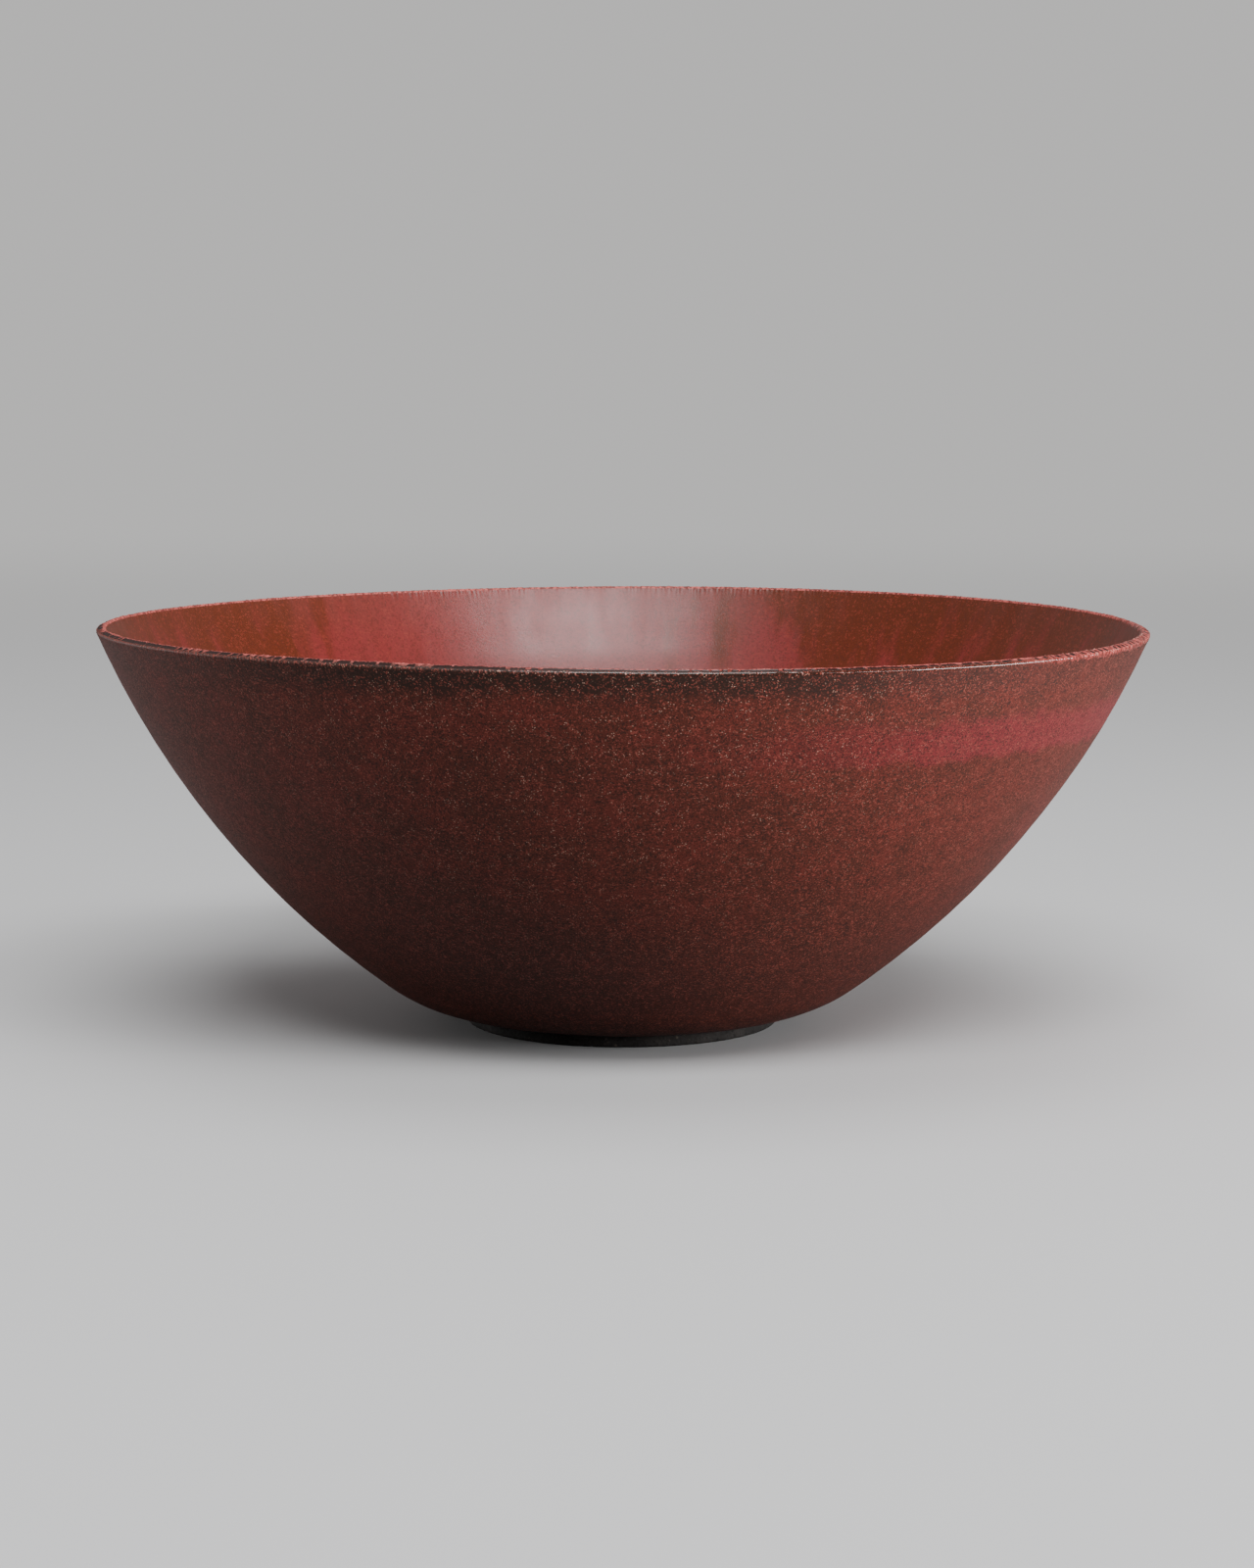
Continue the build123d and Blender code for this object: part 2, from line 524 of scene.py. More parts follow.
# %% Make the lip coat
lip_hollow = 0.12 * mm
calm_sag_reach, crawled_sag_gain = 0.22, 0.13
bridge_fill = 0.9
bead_height = 0.09 * mm
crawl_bump_height = 0.035 * mm
lip_wear_height = 0.02 * mm
lip_around = circle(3000)
band_run = np.array([lip_coat_depth, 1.4 * mm, 0.6 * mm, 0.2 * mm])
rise_points, rise_normals = outside(band_run)
fall_points, fall_normals = inside(band_run[::-1])
back_points = np.concatenate([[inside_wall(lip_coat_depth, coat_thickness)],
                              lip_crown(coat_thickness, 2, 0, 2)[0][::-1],
                              [outside(lip_coat_depth, coat_thickness)[0]]])

face_points = np.concatenate([rise_points, crown_points, fall_points])[None, :]
face_normals = np.concatenate([rise_normals, crown_normals, fall_normals])[None, :]
face_across = np.concatenate([0 * band_run, crown_across, 0 * band_run + 1])[None, :]
face_run = np.concatenate([band_run, 0 * crown_across, band_run[::-1]])[None, :]
face_bridges = bridges(lip_around, face_across)
face_beads = beads(lip_around, face_across, face_run)
sag_reach = calm_sag_reach + crawled_sag_gain * crawled(lip_around)
sag = np.clip(1 - ((face_across - 0.5) / sag_reach) ** 2, 0, 1)
sag = sag * (1 - bridge_fill * face_bridges)
shared_relief = np.where(face_across < 0.5, outside_relief(lip_around, face_run),
                         inside_relief(lip_around, face_run))
lip_wear = lip_wear_height * ripple(lip_around, face_across, (20, 160), 0.6, 13)
face_bumps = crawl_bumps(lip_around, face_across, face_run)
lip_relief = (shared_relief + lip_wear * np.exp(-face_run / mm) - lip_hollow * sag
              + bead_height * face_beads + crawl_bump_height * face_bumps)
lip_face = face_points + face_normals * lip_relief
lip_back = back_points[None, :] + 0 * lip_around
back_zeros = 0 * back_points.real
lip_coat = turned_piece("lip_coat", lip_around, np.hstack([lip_face, lip_back]), True,
                        below_lip=np.append(face_run[0], back_zeros),
                        across_lip=np.append(face_across[0], back_zeros),
                        dark_hollow=np.hstack([sag, 0 * lip_back.real]),
                        crawl=crawled(lip_around),
                        thick=bell(lip_around, thick_middle, thick_width, 8),
                        bead=np.hstack([face_beads, 0 * lip_back.real]))

# %% [markdown]
# ## The clay body
# The clay shows only underneath: a narrow collar, and the recess inside the foot ring. A potter
# turns both with the bowl upside down, so the recess keeps the spiral of the turning tool. The
# hidden part could be left out, but a whole body keeps the mesh closed, and costs little with few
# places along it.

# %% Make the clay body
clay_around = circle(480)
tool_mark_height = 0.045 * mm
tool_mark_crest = 0.4
foot_width = 4.4 * mm
foot_draft = 0.2 * mm
recess_radius = foot_corner[0] - foot_draft - foot_width
tool_pitch = 1.7 * mm


def recess(radius):
    """The underside's shallow dome: full rise at the axis, less by the square of the radius."""
    return radius + 1j * (recess_height - recess_rise * (radius / recess_radius) ** 2)


clay_inside = inside(np.linspace(0, inside_length, 30), coat_thickness)[0][::-1]
clay_crown = lip_crown(coat_thickness, 3, 1, 3)[0][::-1]
clay_outside = outside(np.linspace(0, outside_length, 36), coat_thickness)[0]
seat = np.linspace(foot_top.real, recess_radius, 8) + 1j * foot_top.imag
recess_radii = np.linspace(recess_radius, 0, 80)[1:]
tool_marks = np.minimum(finger_spiral(clay_around, recess_radii, tool_pitch), tool_mark_crest)
mark_fade = np.clip(np.minimum(recess_radii, recess_radius - recess_radii) / (2 * mm), 0, 1)
clay_recess = recess(recess_radii) + 1j * tool_mark_height * tool_marks * mark_fade
clay_shell = np.concatenate([clay_inside[:-1], clay_crown, clay_outside[1:], seat[1:]])
clay_outline = np.hstack([clay_shell + 0 * clay_around, clay_recess])
clay_body = turned_piece("clay_body_turned", clay_around, clay_outline, False)

# %% [markdown]
# ## The foot ring
# The ring is wiped with a damp sponge, which rounds its edges and roughens its rest face a
# little. A torus would be quicker, but the bowl stands on a level face, so the ring has an
# outline of its own: two straight sides, two rounds and a flat between them.

# %% Make the foot ring
ring_around = circle(720)
ring_round = 0.6 * mm
ring_wear_height = 0.02 * mm


def ring_outline():
    """Down the outer side, round to the rest face, across it, round again and up to the seat."""
    quarter = np.linspace(0, np.pi / 2, 8)
    bottom_outside = foot_top.real - foot_draft
    bottom_inside = recess_radius + foot_draft
    corner = ring_round * np.exp(-1j * quarter)
    outer_round = bottom_outside - ring_round + 1j * ring_round + corner
    inner_round = bottom_inside + ring_round + 1j * ring_round - 1j * corner
    outer_side = np.linspace(foot_top, outer_round[0], 6)[:-1]
    rest_face = np.linspace(outer_round[-1], inner_round[0], 16)[1:-1]
    inner_side = np.linspace(inner_round[-1], recess_radius + 1j * foot_top.imag, 6)[1:]
    back = np.linspace(inner_side[-1], foot_top, 6)[1:-1]
    return np.concatenate([outer_side, outer_round, rest_face, inner_round, inner_side, back])


ring_line = ring_outline()[None, :]
ring_waves = ripple(ring_around, ring_line.real, (3, 60), 300, 21)
ring_free = np.clip((foot_top.imag - ring_line.imag) / (0.4 * mm), 0, 1)
ring_lift = ring_wear_height * np.abs(ring_waves) * ring_free
foot_ring = turned_piece("foot_ring_wiped", ring_around, ring_line + 1j * ring_lift, True)

# %% [markdown]
# ## Tying the pieces to the frame
# Each new surface stands for one node of the frame and rides on the one body that the bowl has.
# Nothing on a bowl moves, so they all share the body named root.

# %% Ride and replace
nodes_and_slots = (
    (outer_coat, "outer_slip", "outer_coat"),
    (inner_coat, "inner_slip", "inner_coat"),
    (lip_coat, "lip_slip", "lip_coat"),
    (clay_body, "clay_body", "dark_clay"),
    (foot_ring, "foot_ring", "foot_clay"),
)
for piece, node, slot in nodes_and_slots:
    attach(piece, "root")
    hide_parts(node)
    print(piece.name, "stands for", node)

# %% [markdown]
# ## Small helpers for shader trees
# A finish is a tree of nodes. A few helpers keep each step to one line: they add a node and feed
# its inputs, mix two colours or two values, turn a value into a soft mask, or do one sum. Colours
# are written as they look on a screen, and turned into the linear values that the shader works
# with.

# %% Shader helpers
def colour(red, green, blue):
    """A screen colour from 0 to 255 as a linear one: each share to the power of about 2.4."""
    shares = np.array([red, green, blue]) / 255
    linear = np.where(shares > 0.04045, ((shares + 0.055) / 1.055) ** 2.4, shares / 12.92)
    return (*linear.tolist(), 1.0)


def add(tree, kind, inputs, **options):
    """Adds a node, sets its options, and feeds each input from a socket or a plain value."""
    node = tree.nodes.new(kind)
    for key, value in options.items():
        setattr(node, key, value)
    for key, value in inputs.items():
        if isinstance(value, bpy.types.NodeSocket):
            tree.links.new(value, node.inputs[key])
        else:
            node.inputs[key].default_value = value
    return node


def mix(tree, factor, first, second):
    """The first colour where the factor is 0, the second where it is 1."""
    node = add(tree, "ShaderNodeMix", {0: factor, 6: first, 7: second}, data_type="RGBA")
    return node.outputs[2]


def blend(tree, factor, first, second):
    """The first value where the factor is 0, the second where it is 1."""
    node = add(tree, "ShaderNodeMix", {0: factor, 2: first, 3: second}, data_type="FLOAT")
    return node.outputs[0]


def soft_mask(tree, value, low, high):
    """0 below the low value, 1 above the high one, with a smooth step; low may be the larger."""
    return add(tree, "ShaderNodeMapRange", {"Value": value, "From Min": low, "From Max": high},
               interpolation_type="SMOOTHSTEP").outputs["Result"]


def slope(tree, value, start, end, low=0.0, high=1.0):
    """A straight line from the start, where the value is low, to the end, where it is high."""
    return add(tree, "ShaderNodeMapRange", {"Value": value, "From Min": low, "From Max": high,
                                            "To Min": start, "To Max": end}).outputs["Result"]


def calculate(tree, operation, first, second):
    """One sum on values: ADD, SUBTRACT, DIVIDE and so on."""
    return add(tree, "ShaderNodeMath", {0: first, 1: second}, operation=operation).outputs[0]


def times(tree, first, second):
    """Two values multiplied, such as a mask by its strength."""
    return calculate(tree, "MULTIPLY", first, second)


def calculate_vector(tree, operation, first, second=(0, 0, 0)):
    """One sum on vectors: ADD, MULTIPLY, NORMALIZE and so on."""
    node = add(tree, "ShaderNodeVectorMath", {0: first, 1: second}, operation=operation)
    return node.outputs["Vector"]


def noise(tree, position, size, detail=2.0, roughness=0.5):
    """Cloudy noise whose lumps are about `size` metres across."""
    return add(tree, "ShaderNodeTexNoise", {"Vector": position, "Scale": 1 / size, "Detail": detail,
                                            "Roughness": roughness}).outputs["Fac"]


def swing(tree, value, amount):
    """A cloud value moved to swing around 0, times an amount."""
    return times(tree, calculate(tree, "SUBTRACT", value, 0.5), amount)


print("A mid grey on screen is", round(colour(128, 128, 128)[0], 3), "in the shader")

# %% [markdown]
# ## Where on the bowl
# A coat drains, runs and overlaps, so it isn't the same all over. Such places could be painted on
# by hand, but the paint would fit one mesh only. Two helpers find them by formula instead. One
# draws noise out down the wall, like runs in a wet coat, and one fades with the distance from a
# place on the bowl.

# %% Helpers for places on the bowl
def down_the_wall(tree, position, below, share):
    """The angle around, as a place on the rim's circle, raised by a share of the distance down.

    Noise that is read there is drawn out down the wall, like runs in a wet coat.
    """
    flat = calculate_vector(tree, "MULTIPLY", position, (1, 1, 0))
    around = calculate_vector(tree, "NORMALIZE", flat)
    on_rim = calculate_vector(tree, "MULTIPLY", around, (rim_radius, rim_radius, 0))
    down = add(tree, "ShaderNodeCombineXYZ", {"Z": times(tree, below, share)}).outputs["Vector"]
    return calculate_vector(tree, "ADD", on_rim, down)


def near_place(tree, position, place, far, near):
    """1 within the near distance of a place on the bowl, fading to 0 at the far distance."""
    away = add(tree, "ShaderNodeVectorMath", {0: position, 1: place}, operation="DISTANCE")
    return soft_mask(tree, away.outputs["Value"], far, near)


print("Runs start on a circle of radius", round(rim_radius / mm, 1), "mm")

# %% [markdown]
# ## Grain, as a node group
# Up close the coat is salt and pepper: specks of a fifth to a third of a millimetre, redder or
# browner than their neighbours, gathered in clumps of a few millimetres. Fine noise alone would be
# too even a blur. So cells from a Voronoi texture give the specks, each with its own random tone,
# and clouds of noise push that tone up or down for the clumps. Outside, inside, lip and clay all
# use it, so it is built once as a group with named inputs and outputs.

# %% Build the grain group
def new_group(name, inputs, outputs):
    """A node group with named inputs and outputs, and the sockets that carry them inside it."""
    group = bpy.data.node_groups.new(name, "ShaderNodeTree")
    for direction, sockets in (("INPUT", inputs), ("OUTPUT", outputs)):
        for label, kind in sockets.items():
            group.interface.new_socket(label, in_out=direction, socket_type=f"NodeSocket{kind}")
    given = group.nodes.new("NodeGroupInput").outputs
    return group, given, group.nodes.new("NodeGroupOutput").inputs


def build_grain():
    """Speck tones from random cells, swayed by clumps, rare specks and a dome over each cell.

    The rare specks are painted as glints on the coats and as grog on the clay.
    """
    group, given, out = new_group("speck grain", {"Position": "Vector", "Speck Size": "Float",
                                                  "Clump Size": "Float", "Clumping": "Float"},
                                  {"Tone": "Float", "Glint And Grog": "Float", "Height": "Float"})
    link, position = group.links.new, given["Position"]
    speck_scale = calculate(group, "DIVIDE", 1.0, given["Speck Size"])
    clump_scale = calculate(group, "DIVIDE", 1.0, given["Clump Size"])
    cells = add(group, "ShaderNodeTexVoronoi", {"Vector": position, "Scale": speck_scale}).outputs
    split = add(group, "ShaderNodeSeparateColor", {"Color": cells["Color"]}).outputs
    clumps = add(group, "ShaderNodeTexNoise", {"Vector": position, "Scale": clump_scale,
                                               "Detail": 2.5, "Roughness": 0.6}).outputs["Fac"]
    sway = swing(group, clumps, given["Clumping"])
    link(calculate(group, "ADD", split["Red"], sway), out["Tone"])
    gathered = soft_mask(group, clumps, 0.44, 0.60)
    rare = soft_mask(group, split["Green"], 0.91, 0.95)
    middle = soft_mask(group, cells["Distance"], 0.60, 0.30)
    link(times(group, times(group, gathered, rare), middle), out["Glint And Grog"])
    dome = soft_mask(group, cells["Distance"], 0.75, 0.0)
    link(times(group, dome, split["Blue"]), out["Height"])
    return group


grain_group = build_grain()
print("Grain group outputs:", ", ".join(item.name for item in grain_group.interface.items_tree
                                        if item.in_out == "OUTPUT"))


# %% Use the grain
dark_tones, light_tones = (0.42, 0.05), (0.72, 1.05)


def place_grain(tree, position, speck_size, clump_size, clumping):
    """The grain group placed in a tree or in another group, with sizes of its own."""
    return add(tree, "ShaderNodeGroup", {"Position": position, "Speck Size": speck_size,
                                         "Clump Size": clump_size, "Clumping": clumping},
               node_tree=grain_group).outputs


def speckled(tree, base, tone, dark, light, strength):
    """The base with dark specks where the tone is low and light ones where it is high."""
    low = times(tree, soft_mask(tree, tone, *dark_tones), strength)
    high = times(tree, soft_mask(tree, tone, *light_tones), strength)
    return mix(tree, high, mix(tree, low, base, dark), light)


look_inputs = {"Position": "Vector", "Below Lip": "Float"}
look_outputs = {"Color": "Color", "Roughness": "Float", "Height": "Float"}
print("Each look gives:", ", ".join(look_outputs))

# %% [markdown]
# ## The outside's look
# The outside is a deep red brown that darkens towards the foot, partly in the coat's own tone
# and partly as painted shade where the wall turns down under the bowl. The coat drained off its
# top edge, most of all on one side, and there it is nearly black, with pale glints painted into
# its colour as tiny highlights. On another side a rosier level band lies a little lower, where two
# dips overlap. Bands by height alone would not follow the rim where it rises and falls, so the
# zones go by the distance below the lip that the mesh stores. The look is a group that gives a
# colour, a roughness and a height, so that the lip can borrow it and meet its neighbour without a
# seam.

# %% Build the outside look
outside_red, outside_brown = colour(108, 42, 32), colour(92, 39, 27)
outside_rose, outside_foot_tone_and_shade, outside_rim = colour(134, 41, 46), colour(72, 27, 17), colour(50, 28, 19)
outside_dark_speck, outside_light_speck = colour(40, 21, 14), colour(162, 80, 68)
# A painted highlight: the colour of tiny glints on the coat.
painted_glint = colour(236, 190, 168)
outside_speck, outside_clump, outside_clumping = 0.22 * mm, 2.0 * mm, 0.35
thin_and_glint_side, thin_and_glint_reach = (-8 * mm, -99 * mm, 75 * mm), (90 * mm, 25 * mm)
rosy_side, rosy_reach = (83 * mm, -44 * mm, 62 * mm), (100 * mm, 25 * mm)
drained_edge = (6.4 * mm, 2.0 * mm)
rose_starts, rose_ends = (9.0 * mm, 13.0 * mm), (20.0 * mm, 18.0 * mm)
foot_tone_and_shade_zone = (35 * mm, 85 * mm)
brown_to_red = (0.36, 0.66)
rose_strength, foot_tone_and_shade_strength, outside_speck_strength = 0.85, 0.85, 0.8
dark_rim_everywhere, dark_rim_where_thin = 0.22, 0.76
painted_glints_everywhere, painted_glints_where_thin = 0.08, 0.65
outside_roughness = (0.56, 0.40)


def build_outside_look():
    """Zones by distance below the lip, then specks, painted glints and a gloss that varies with
    them.
    """
    group, given, out = new_group("outside look", look_inputs, look_outputs)
    position, below = given["Position"], given["Below Lip"]
    grain = place_grain(group, position, outside_speck, outside_clump, outside_clumping)
    wander = swing(group, noise(group, position, 5 * mm, 5.0, 0.6), 7 * mm)
    level = calculate(group, "ADD", below, wander)
    clouds = calculate(group, "ADD", noise(group, position, 6 * mm, 4.0, 0.6),
                       swing(group, noise(group, position, 22 * mm, 2.0), 0.5))
    base = mix(group, soft_mask(group, clouds, *brown_to_red), outside_brown, outside_red)

    rose_band = times(group, soft_mask(group, level, *rose_starts),
                      soft_mask(group, level, *rose_ends))
    rosy = times(group, rose_band, near_place(group, position, rosy_side, *rosy_reach))
    base = mix(group, times(group, rosy, rose_strength), base, outside_rose)
    # Painted shade: the colour darkens towards the foot, where the wall faces down under the bowl;
    # part of it is the coat's own darker tone.
    low = times(group, soft_mask(group, level, *foot_tone_and_shade_zone), foot_tone_and_shade_strength)
    base = mix(group, low, base, outside_foot_tone_and_shade)

    # The thin side is where the coat drained, and where the painted glints gather, at the front of
    # the rim.
    drained = near_place(group, position, thin_and_glint_side, *thin_and_glint_reach)
    rim_share = calculate(group, "ADD", times(group, drained, dark_rim_where_thin),
                          dark_rim_everywhere)
    edge = times(group, soft_mask(group, level, *drained_edge), rim_share)
    base = mix(group, edge, base, outside_rim)
    base = speckled(group, base, grain["Tone"], outside_dark_speck, outside_light_speck,
                    outside_speck_strength)
    # Painted highlights: pale specks painted into the colour as glints.
    painted_glint_share = calculate(group, "ADD", times(group, drained, painted_glints_where_thin),
                            painted_glints_everywhere)
    base = mix(group, times(group, grain["Glint And Grog"], painted_glint_share), base, painted_glint)

    height = calculate(group, "ADD", grain["Height"], noise(group, position, 0.6 * mm, 2.0))
    group.links.new(base, out["Color"])
    group.links.new(slope(group, grain["Tone"], *outside_roughness), out["Roughness"])
    group.links.new(height, out["Height"])
    return group


outside_look = build_outside_look()
print("The outside look has", len(outside_look.nodes), "nodes")

# %% [markdown]
# ## The inside's look
# The inside is warmer: orange brown blotches among rose, drawn out as runs near the lip, and a
# browner rim where the coat drained. One side of it is flushed rose from edge to floor. One cloud
# texture over all would look like marble, so blotches, runs and streaks each have their own, and
# the flushed side shifts the balance between the two colours.

# %% Build the inside look
inside_brown, inside_rose, inside_rim = colour(96, 37, 14), colour(124, 40, 38), colour(90, 37, 13)
inside_dark_speck, inside_light_speck = colour(80, 30, 17), colour(140, 54, 42)
inside_speck, inside_clump, inside_clumping = 0.35 * mm, 3.0 * mm, 0.6
flushed_side, flushed_reach = (-20 * mm, 94 * mm, 66 * mm), (85 * mm, 12 * mm)
runs_end = (15 * mm, 45 * mm)
browner_rim, drier_rim = (14 * mm, 1 * mm), (14 * mm, -4 * mm)
brown_to_rose = (0.36, 0.66)
flushed_gain, unflushed_drop = 0.38, 0.10
browner_strength, flushed_browner_drop, drier_gain = 0.8, 0.70, 0.08
inside_speck_strength = 0.5
inside_roughness = (0.28, 0.36)


def build_inside_look():
    """Brown and rose blotches with runs near the lip, a browner rim, specks and a soft gloss."""
    group, given, out = new_group("inside look", look_inputs, look_outputs)
    position, below = given["Position"], given["Below Lip"]
    grain = place_grain(group, position, inside_speck, inside_clump, inside_clumping)
    runs = noise(group, down_the_wall(group, position, below, 0.3), 6 * mm, 3.0, 0.55)
    lumps = noise(group, position, 8 * mm, 3.0, 0.55)
    blotches = blend(group, soft_mask(group, below, *runs_end), runs, lumps)
    wide_clouds = swing(group, noise(group, position, 26 * mm, 2.0), 0.4)
    clouds = calculate(group, "ADD", blotches, wide_clouds)
    flushed = near_place(group, position, flushed_side, *flushed_reach)
    lift = calculate(group, "SUBTRACT", times(group, flushed, flushed_gain), unflushed_drop)
    rosy = soft_mask(group, calculate(group, "ADD", clouds, lift), *brown_to_rose)
    base = mix(group, rosy, inside_brown, inside_rose)

    streaks = noise(group, down_the_wall(group, position, below, 0.2), 4 * mm, 3.0)
    drained = calculate(group, "ADD", below, swing(group, streaks, 22 * mm))
    rim_share = calculate(group, "SUBTRACT", browner_strength,
                          times(group, flushed, flushed_browner_drop))
    rim = times(group, soft_mask(group, drained, *browner_rim), rim_share)
    base = mix(group, rim, base, inside_rim)
    base = speckled(group, base, grain["Tone"], inside_dark_speck, inside_light_speck,
                    inside_speck_strength)

    roughness = slope(group, blotches, *inside_roughness, 0.3, 0.7)
    dry_rim = times(group, soft_mask(group, drained, *drier_rim), drier_gain)
    height = calculate(group, "ADD", grain["Height"], noise(group, position, 0.8 * mm))
    group.links.new(base, out["Color"])
    group.links.new(calculate(group, "ADD", roughness, dry_rim), out["Roughness"])
    group.links.new(height, out["Height"])
    return group


inside_look = build_inside_look()
print("The inside look has", len(inside_look.nodes), "nodes")

# %% [markdown]
# ## From looks to materials
# A material holds the shader itself. The numbers that are the same all over, such as the specular
# level, are set on the shader, and the varying ones come from the looks. The grain is too fine to
# be modelled, so a Bump node turns its height into tiny glints, which is what makes a satin coat
# sparkle under a raking light.

# %% Materials for the outer and inner coats
def new_material(name):
    """A material, its emptied tree, and the socket that gives a point's place on the object."""
    material = bpy.data.materials.new(name)
    material.use_nodes = True
    tree = material.node_tree
    tree.nodes.clear()
    return material, tree, add(tree, "ShaderNodeTexCoord", {}).outputs["Object"]


def stored(tree, name):
    """A value that was stored on the mesh's points."""
    return add(tree, "ShaderNodeAttribute", {}, attribute_name=name).outputs["Fac"]


def place_look(tree, look, position, below):
    """A look placed in a material's tree."""
    return add(tree, "ShaderNodeGroup", {"Position": position, "Below Lip": below},
               node_tree=look).outputs


def finish(tree, base, roughness, height, relief, specular):
    """The Principled shader: what varies is linked, what is the same all over is set on it.

    The relief is how far a height of 1 stands out, in metres.
    """
    bump = add(tree, "ShaderNodeBump", {"Height": height, "Distance": relief, "Strength": 1.0})
    shader = add(tree, "ShaderNodeBsdfPrincipled", {"Base Color": base, "Roughness": roughness,
                                                    "Specular IOR Level": specular,
                                                    "Normal": bump.outputs["Normal"]})
    add(tree, "ShaderNodeOutputMaterial", {"Surface": shader.outputs["BSDF"]})


coat_specular = 0.47
outside_grain_relief = 0.015 * mm
inside_grain_relief = 0.008 * mm

for coat, name, look, relief in (
        (outer_coat, "satin red coat outside", outside_look, outside_grain_relief),
        (inner_coat, "satin red coat inside", inside_look, inside_grain_relief)):
    material, tree, position = new_material(name)
    part = place_look(tree, look, position, stored(tree, "below_lip"))
    finish(tree, part["Color"], part["Roughness"], part["Height"], relief, coat_specular)
    coat.data.materials.append(material)
    print(coat.name, "wears", name)

# %% [markdown]
# ## The lip's finish
# The lip's coat starts as the outside look and ends as the inside look. The hollow is nearly
# black, for there the coat sank and lies thin over the dark clay. The inner edge is salmon in
# small patches, and so is the whole top along the thick stretch, where short drips of it reach
# down the outside. Along the calm and the thick stretches the beads are pink, painted pale as
# their highlights, and along the crawled one they are dry and duller. A painted strip could show
# all that, but here the values stored on the mesh drive it, so colour and shape always agree.

# %% Material for the lip
thick_dark, thick_light = colour(120, 46, 40), colour(182, 80, 74)
edge_dark, edge_light = colour(116, 46, 40), colour(190, 90, 84)
bead_pink_and_highlight, bead_dry = colour(200, 136, 124), colour(160, 80, 70)
hollow_dark = colour(38, 14, 9)
wet_roughness, dry_roughness, bare_roughness = 0.12, 0.60, 0.95
patch_size, drip_width, drip_length, shortest_drip = 0.7 * mm, 0.7 * mm, 2.4 * mm, 0.15 * mm
crown_fade, grain_fade = 0.2 * mm, 0.5 * mm


def lip_material():
    """Outside look to inside look, with a dark hollow, salmon patches and beads painted pale as
    highlights.
    """
    material, tree, position = new_material("broken lip coat")
    below, thick = stored(tree, "below_lip"), stored(tree, "thick")
    side = soft_mask(tree, stored(tree, "across_lip"), 0.3, 0.7)
    outer, inner = (place_look(tree, look, position, below) for look in (outside_look, inside_look))

    runs = noise(tree, down_the_wall(tree, position, below, 0.3), drip_width, 2.0)
    drips = calculate(tree, "ADD", swing(tree, runs, drip_length), shortest_drip)
    drips = times(tree, drips, thick)
    crown = soft_mask(tree, calculate(tree, "SUBTRACT", below, drips), crown_fade, 0.0)
    patches = soft_mask(tree, noise(tree, position, patch_size, 2.0), 0.42, 0.58)
    sides = mix(tree, side, outer["Color"], inner["Color"])
    thin_top = mix(tree, side, sides, mix(tree, patches, edge_dark, edge_light))
    thick_top = mix(tree, patches, thick_dark, thick_light)
    base = mix(tree, crown, sides, mix(tree, thick, thin_top, thick_top))

    hollow = soft_mask(tree, stored(tree, "dark_hollow"), 0.12, 0.45)
    dry = times(tree, stored(tree, "crawl"), calculate(tree, "SUBTRACT", 1.0, thick))
    base = mix(tree, hollow, base, hollow_dark)
    bead = soft_mask(tree, stored(tree, "bead"), 0.05, 0.5)
    # Painted highlights: the beads on the glossy stretches are pink, painted pale as their shine.
    base = mix(tree, bead, base, mix(tree, dry, bead_pink_and_highlight, bead_dry))

    roughness = blend(tree, side, outer["Roughness"], inner["Roughness"])
    roughness = blend(tree, crown, roughness, slope(tree, dry, wet_roughness, dry_roughness))
    roughness = blend(tree, times(tree, hollow, dry), roughness, bare_roughness)
    height = blend(tree, side, outer["Height"], inner["Height"])
    height = times(tree, height, slope(tree, side, 1.0, inside_grain_relief / outside_grain_relief))
    height = times(tree, height, soft_mask(tree, below, 0.0, grain_fade))
    finish(tree, base, roughness, height, outside_grain_relief, coat_specular)
    return material


lip_coat.data.materials.append(lip_material())
print("The lip mixes", outside_look.name, "and", inside_look.name)

# %% [markdown]
# ## Bare clay
# The clay is a stoneware of a dark tone, dry and open, with fine pale grog and darker iron spots.
# It is painted nearly black, darker than its own tone, as the shade that lies under the bowl. The
# foot ring is the same clay, a shade lighter where the sponge and the kiln shelf have rubbed it.
# One flat tone would do from the front, but the underside is seen when the bowl is turned over,
# so the clay borrows the grain group at a coarser size.

# %% Materials for the clay
grog, iron_spot = colour(84, 75, 67), colour(16, 13, 12)
clay_speck, clay_clump, clay_clumping = 0.6 * mm, 5 * mm, 0.8
grog_strength = 0.7
clay_relief = 0.08 * mm
clay_roughness, clay_specular = (0.92, 0.78), 0.25


def clay_material(name, body, rubbed):
    """Dry dark clay with painted shade: cloudy tone, pale grog, dark iron spots, and a rough open
    surface.
    """
    material, tree, position = new_material(name)
    grain = place_grain(tree, position, clay_speck, clay_clump, clay_clumping)
    base = mix(tree, soft_mask(tree, noise(tree, position, 6 * mm, 3.0), 0.35, 0.65), body, rubbed)
    base = mix(tree, times(tree, grain["Glint And Grog"], grog_strength), base, grog)
    base = mix(tree, soft_mask(tree, grain["Tone"], 0.1, -0.1), base, iron_spot)
    height = calculate(tree, "ADD", grain["Height"], noise(tree, position, 0.9 * mm, 3.0))
    roughness = slope(tree, grain["Tone"], *clay_roughness)
    finish(tree, base, roughness, height, clay_relief, clay_specular)
    return material


# Painted shade: both tones are darker than the stoneware's own, as the shade that falls under the
# bowl.
for piece, name, body, rubbed in (
        (clay_body, "dark stoneware with painted shade", colour(26, 23, 22), colour(34, 30, 28)),
        (foot_ring, "wiped foot clay with painted shade", colour(29, 26, 25), colour(40, 36, 34))):
    piece.data.materials.append(clay_material(name, body, rubbed))
    print(piece.name, "wears", name)

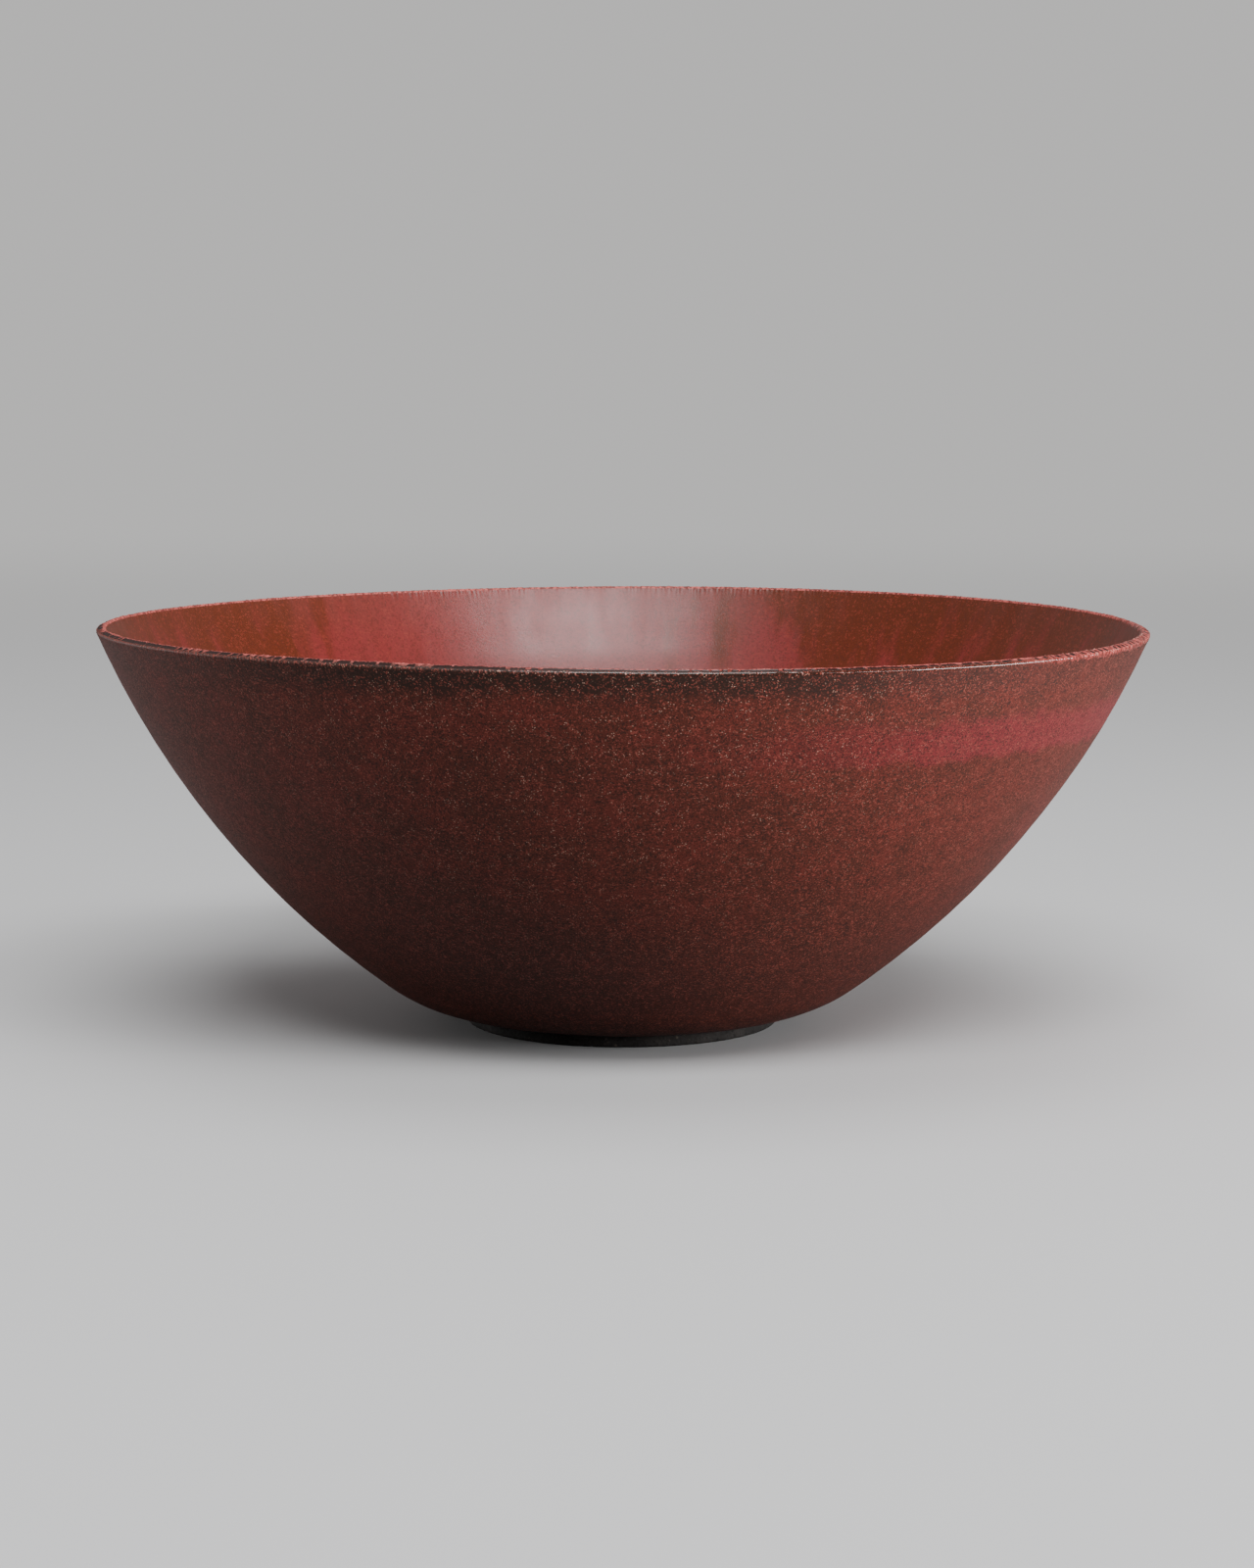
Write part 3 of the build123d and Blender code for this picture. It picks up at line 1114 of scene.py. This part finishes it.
# %% [markdown]
# ## Floor and background
# The stage is a plain pale disc, far wider than the view. A curved backdrop would show as a wall
# in views from the side, so there is none: far from the bowl the floor fades into the tone of the
# world behind it, and no horizon line is left to distract. The floor is darker for every ray
# except the camera's, so that it doesn't flood the underside of the bowl with light.

# %% Make the floor
background = colour(203, 202, 201)
floor_seen = colour(200, 200, 201)
floor_reflected, floor_lit = colour(112, 112, 112), colour(104, 104, 104)
floor_radius = 8.0
fade_start, fade_end = 0.25, 1.8


def floor_material():
    """A matt pale floor that fades to the background's tone with distance, for the camera."""
    material, tree, position = new_material("pale floor")
    path = add(tree, "ShaderNodeLightPath", {}).outputs
    seen = path["Is Camera Ray"]
    base = mix(tree, seen, mix(tree, path["Is Glossy Ray"], floor_lit, floor_reflected), floor_seen)
    surface = add(tree, "ShaderNodeBsdfPrincipled", {"Base Color": base, "Roughness": 0.8,
                                                     "Specular IOR Level": 0.2})
    distance = add(tree, "ShaderNodeVectorMath", {0: position}, operation="LENGTH").outputs["Value"]
    far = times(tree, soft_mask(tree, distance, fade_start, fade_end), seen)
    glow = add(tree, "ShaderNodeEmission", {"Color": background, "Strength": 1.0})
    ground = add(tree, "ShaderNodeMixShader", {0: far, 1: surface.outputs["BSDF"],
                                               2: glow.outputs["Emission"]})
    add(tree, "ShaderNodeOutputMaterial", {"Surface": ground.outputs["Shader"]})
    return material


floor_edge = floor_radius * np.exp(1j * circle(128)[:, 0])
floor_points = np.stack([floor_edge.real, floor_edge.imag, 0 * floor_edge.real], axis=-1)
floor_mesh = bpy.data.meshes.new("floor")
floor_mesh.from_pydata(floor_points.tolist(), [], [list(range(len(floor_points)))])
floor_mesh.materials.append(floor_material())
floor = bpy.data.objects.new("floor", floor_mesh)
bpy.context.scene.collection.objects.link(floor)
print("The floor fades from", fade_start, "to", fade_end, "m")

# %% [markdown]
# ## The world
# The world is a weak even light from all round, as from the pale walls of a studio. It could
# light the bowl by itself, but then nothing would model its round, so it only fills the shadows.
# The camera sees the background's tone instead of it.

# %% Set the world
world_level = 0.26
world = bpy.data.worlds.new("studio")
world.use_nodes = True
bpy.context.scene.world = world
sky = world.node_tree
sky.nodes.clear()
ambient = add(sky, "ShaderNodeBackground", {"Color": (1.0, 1.0, 1.0, 1.0), "Strength": world_level})
behind = add(sky, "ShaderNodeBackground", {"Color": background, "Strength": 1.0})
seen_from_camera = add(sky, "ShaderNodeLightPath", {}).outputs["Is Camera Ray"]
sky_mix = add(sky, "ShaderNodeMixShader", {0: seen_from_camera, 1: ambient.outputs["Background"],
                                           2: behind.outputs["Background"]})
add(sky, "ShaderNodeOutputWorld", {"Surface": sky_mix.outputs["Shader"]})
print("World level", world_level)

# %% [markdown]
# ## Soft studio light
# Four soft lamps and a narrow one. One hangs above the camera and gives the inside its broad
# satin highlight. One overhead fills the bowl and draws the soft shadow under it. One stands low
# on the right and models the round of the wall, and a weak one on the left keeps that edge from
# sinking into the dark. The narrow one, like a strip box, only draws the thin bright line along
# the lip. Each could be given a power by trial, but a level says more: it is the brightness that
# the lamp would give a white card facing it.

# %% Place the lamps
target = Vector((0, 0, 0.05))


def add_lamp(name, direction, distance, width, height, level):
    """An area lamp aimed at the bowl: its power is the level times (pi times distance) squared."""
    data = bpy.data.lights.new(name, "AREA")
    data.shape = "RECTANGLE"
    data.size, data.size_y = width, height
    data.energy = level * math.pi**2 * distance**2
    lamp = bpy.data.objects.new(name, data)
    toward = Vector(direction).normalized()
    lamp.matrix_world = (Matrix.Translation(target + toward * distance)
                         @ toward.to_track_quat("Z", "Y").to_matrix().to_4x4())
    lamp.visible_camera = False
    bpy.context.scene.collection.objects.link(lamp)
    print(name, "gives", round(data.energy, 1), "W")


add_lamp("front lamp", (0.12, -0.64, 0.766), distance=1.8, width=1.4, height=0.52, level=1.08)
add_lamp("top lamp", (0.0, 0.0, 1.0), distance=1.6, width=1.1, height=1.1, level=0.42)
add_lamp("right lamp", (0.970, -0.220, 0.085), distance=0.8, width=0.50, height=0.20, level=1.24)
add_lamp("lip strip", (0.800, -0.590, 0.130), distance=0.8, width=0.32, height=0.05, level=0.17)
add_lamp("left lamp", (-0.950, 0.300, 0.060), distance=1.2, width=0.6, height=0.3, level=0.32)
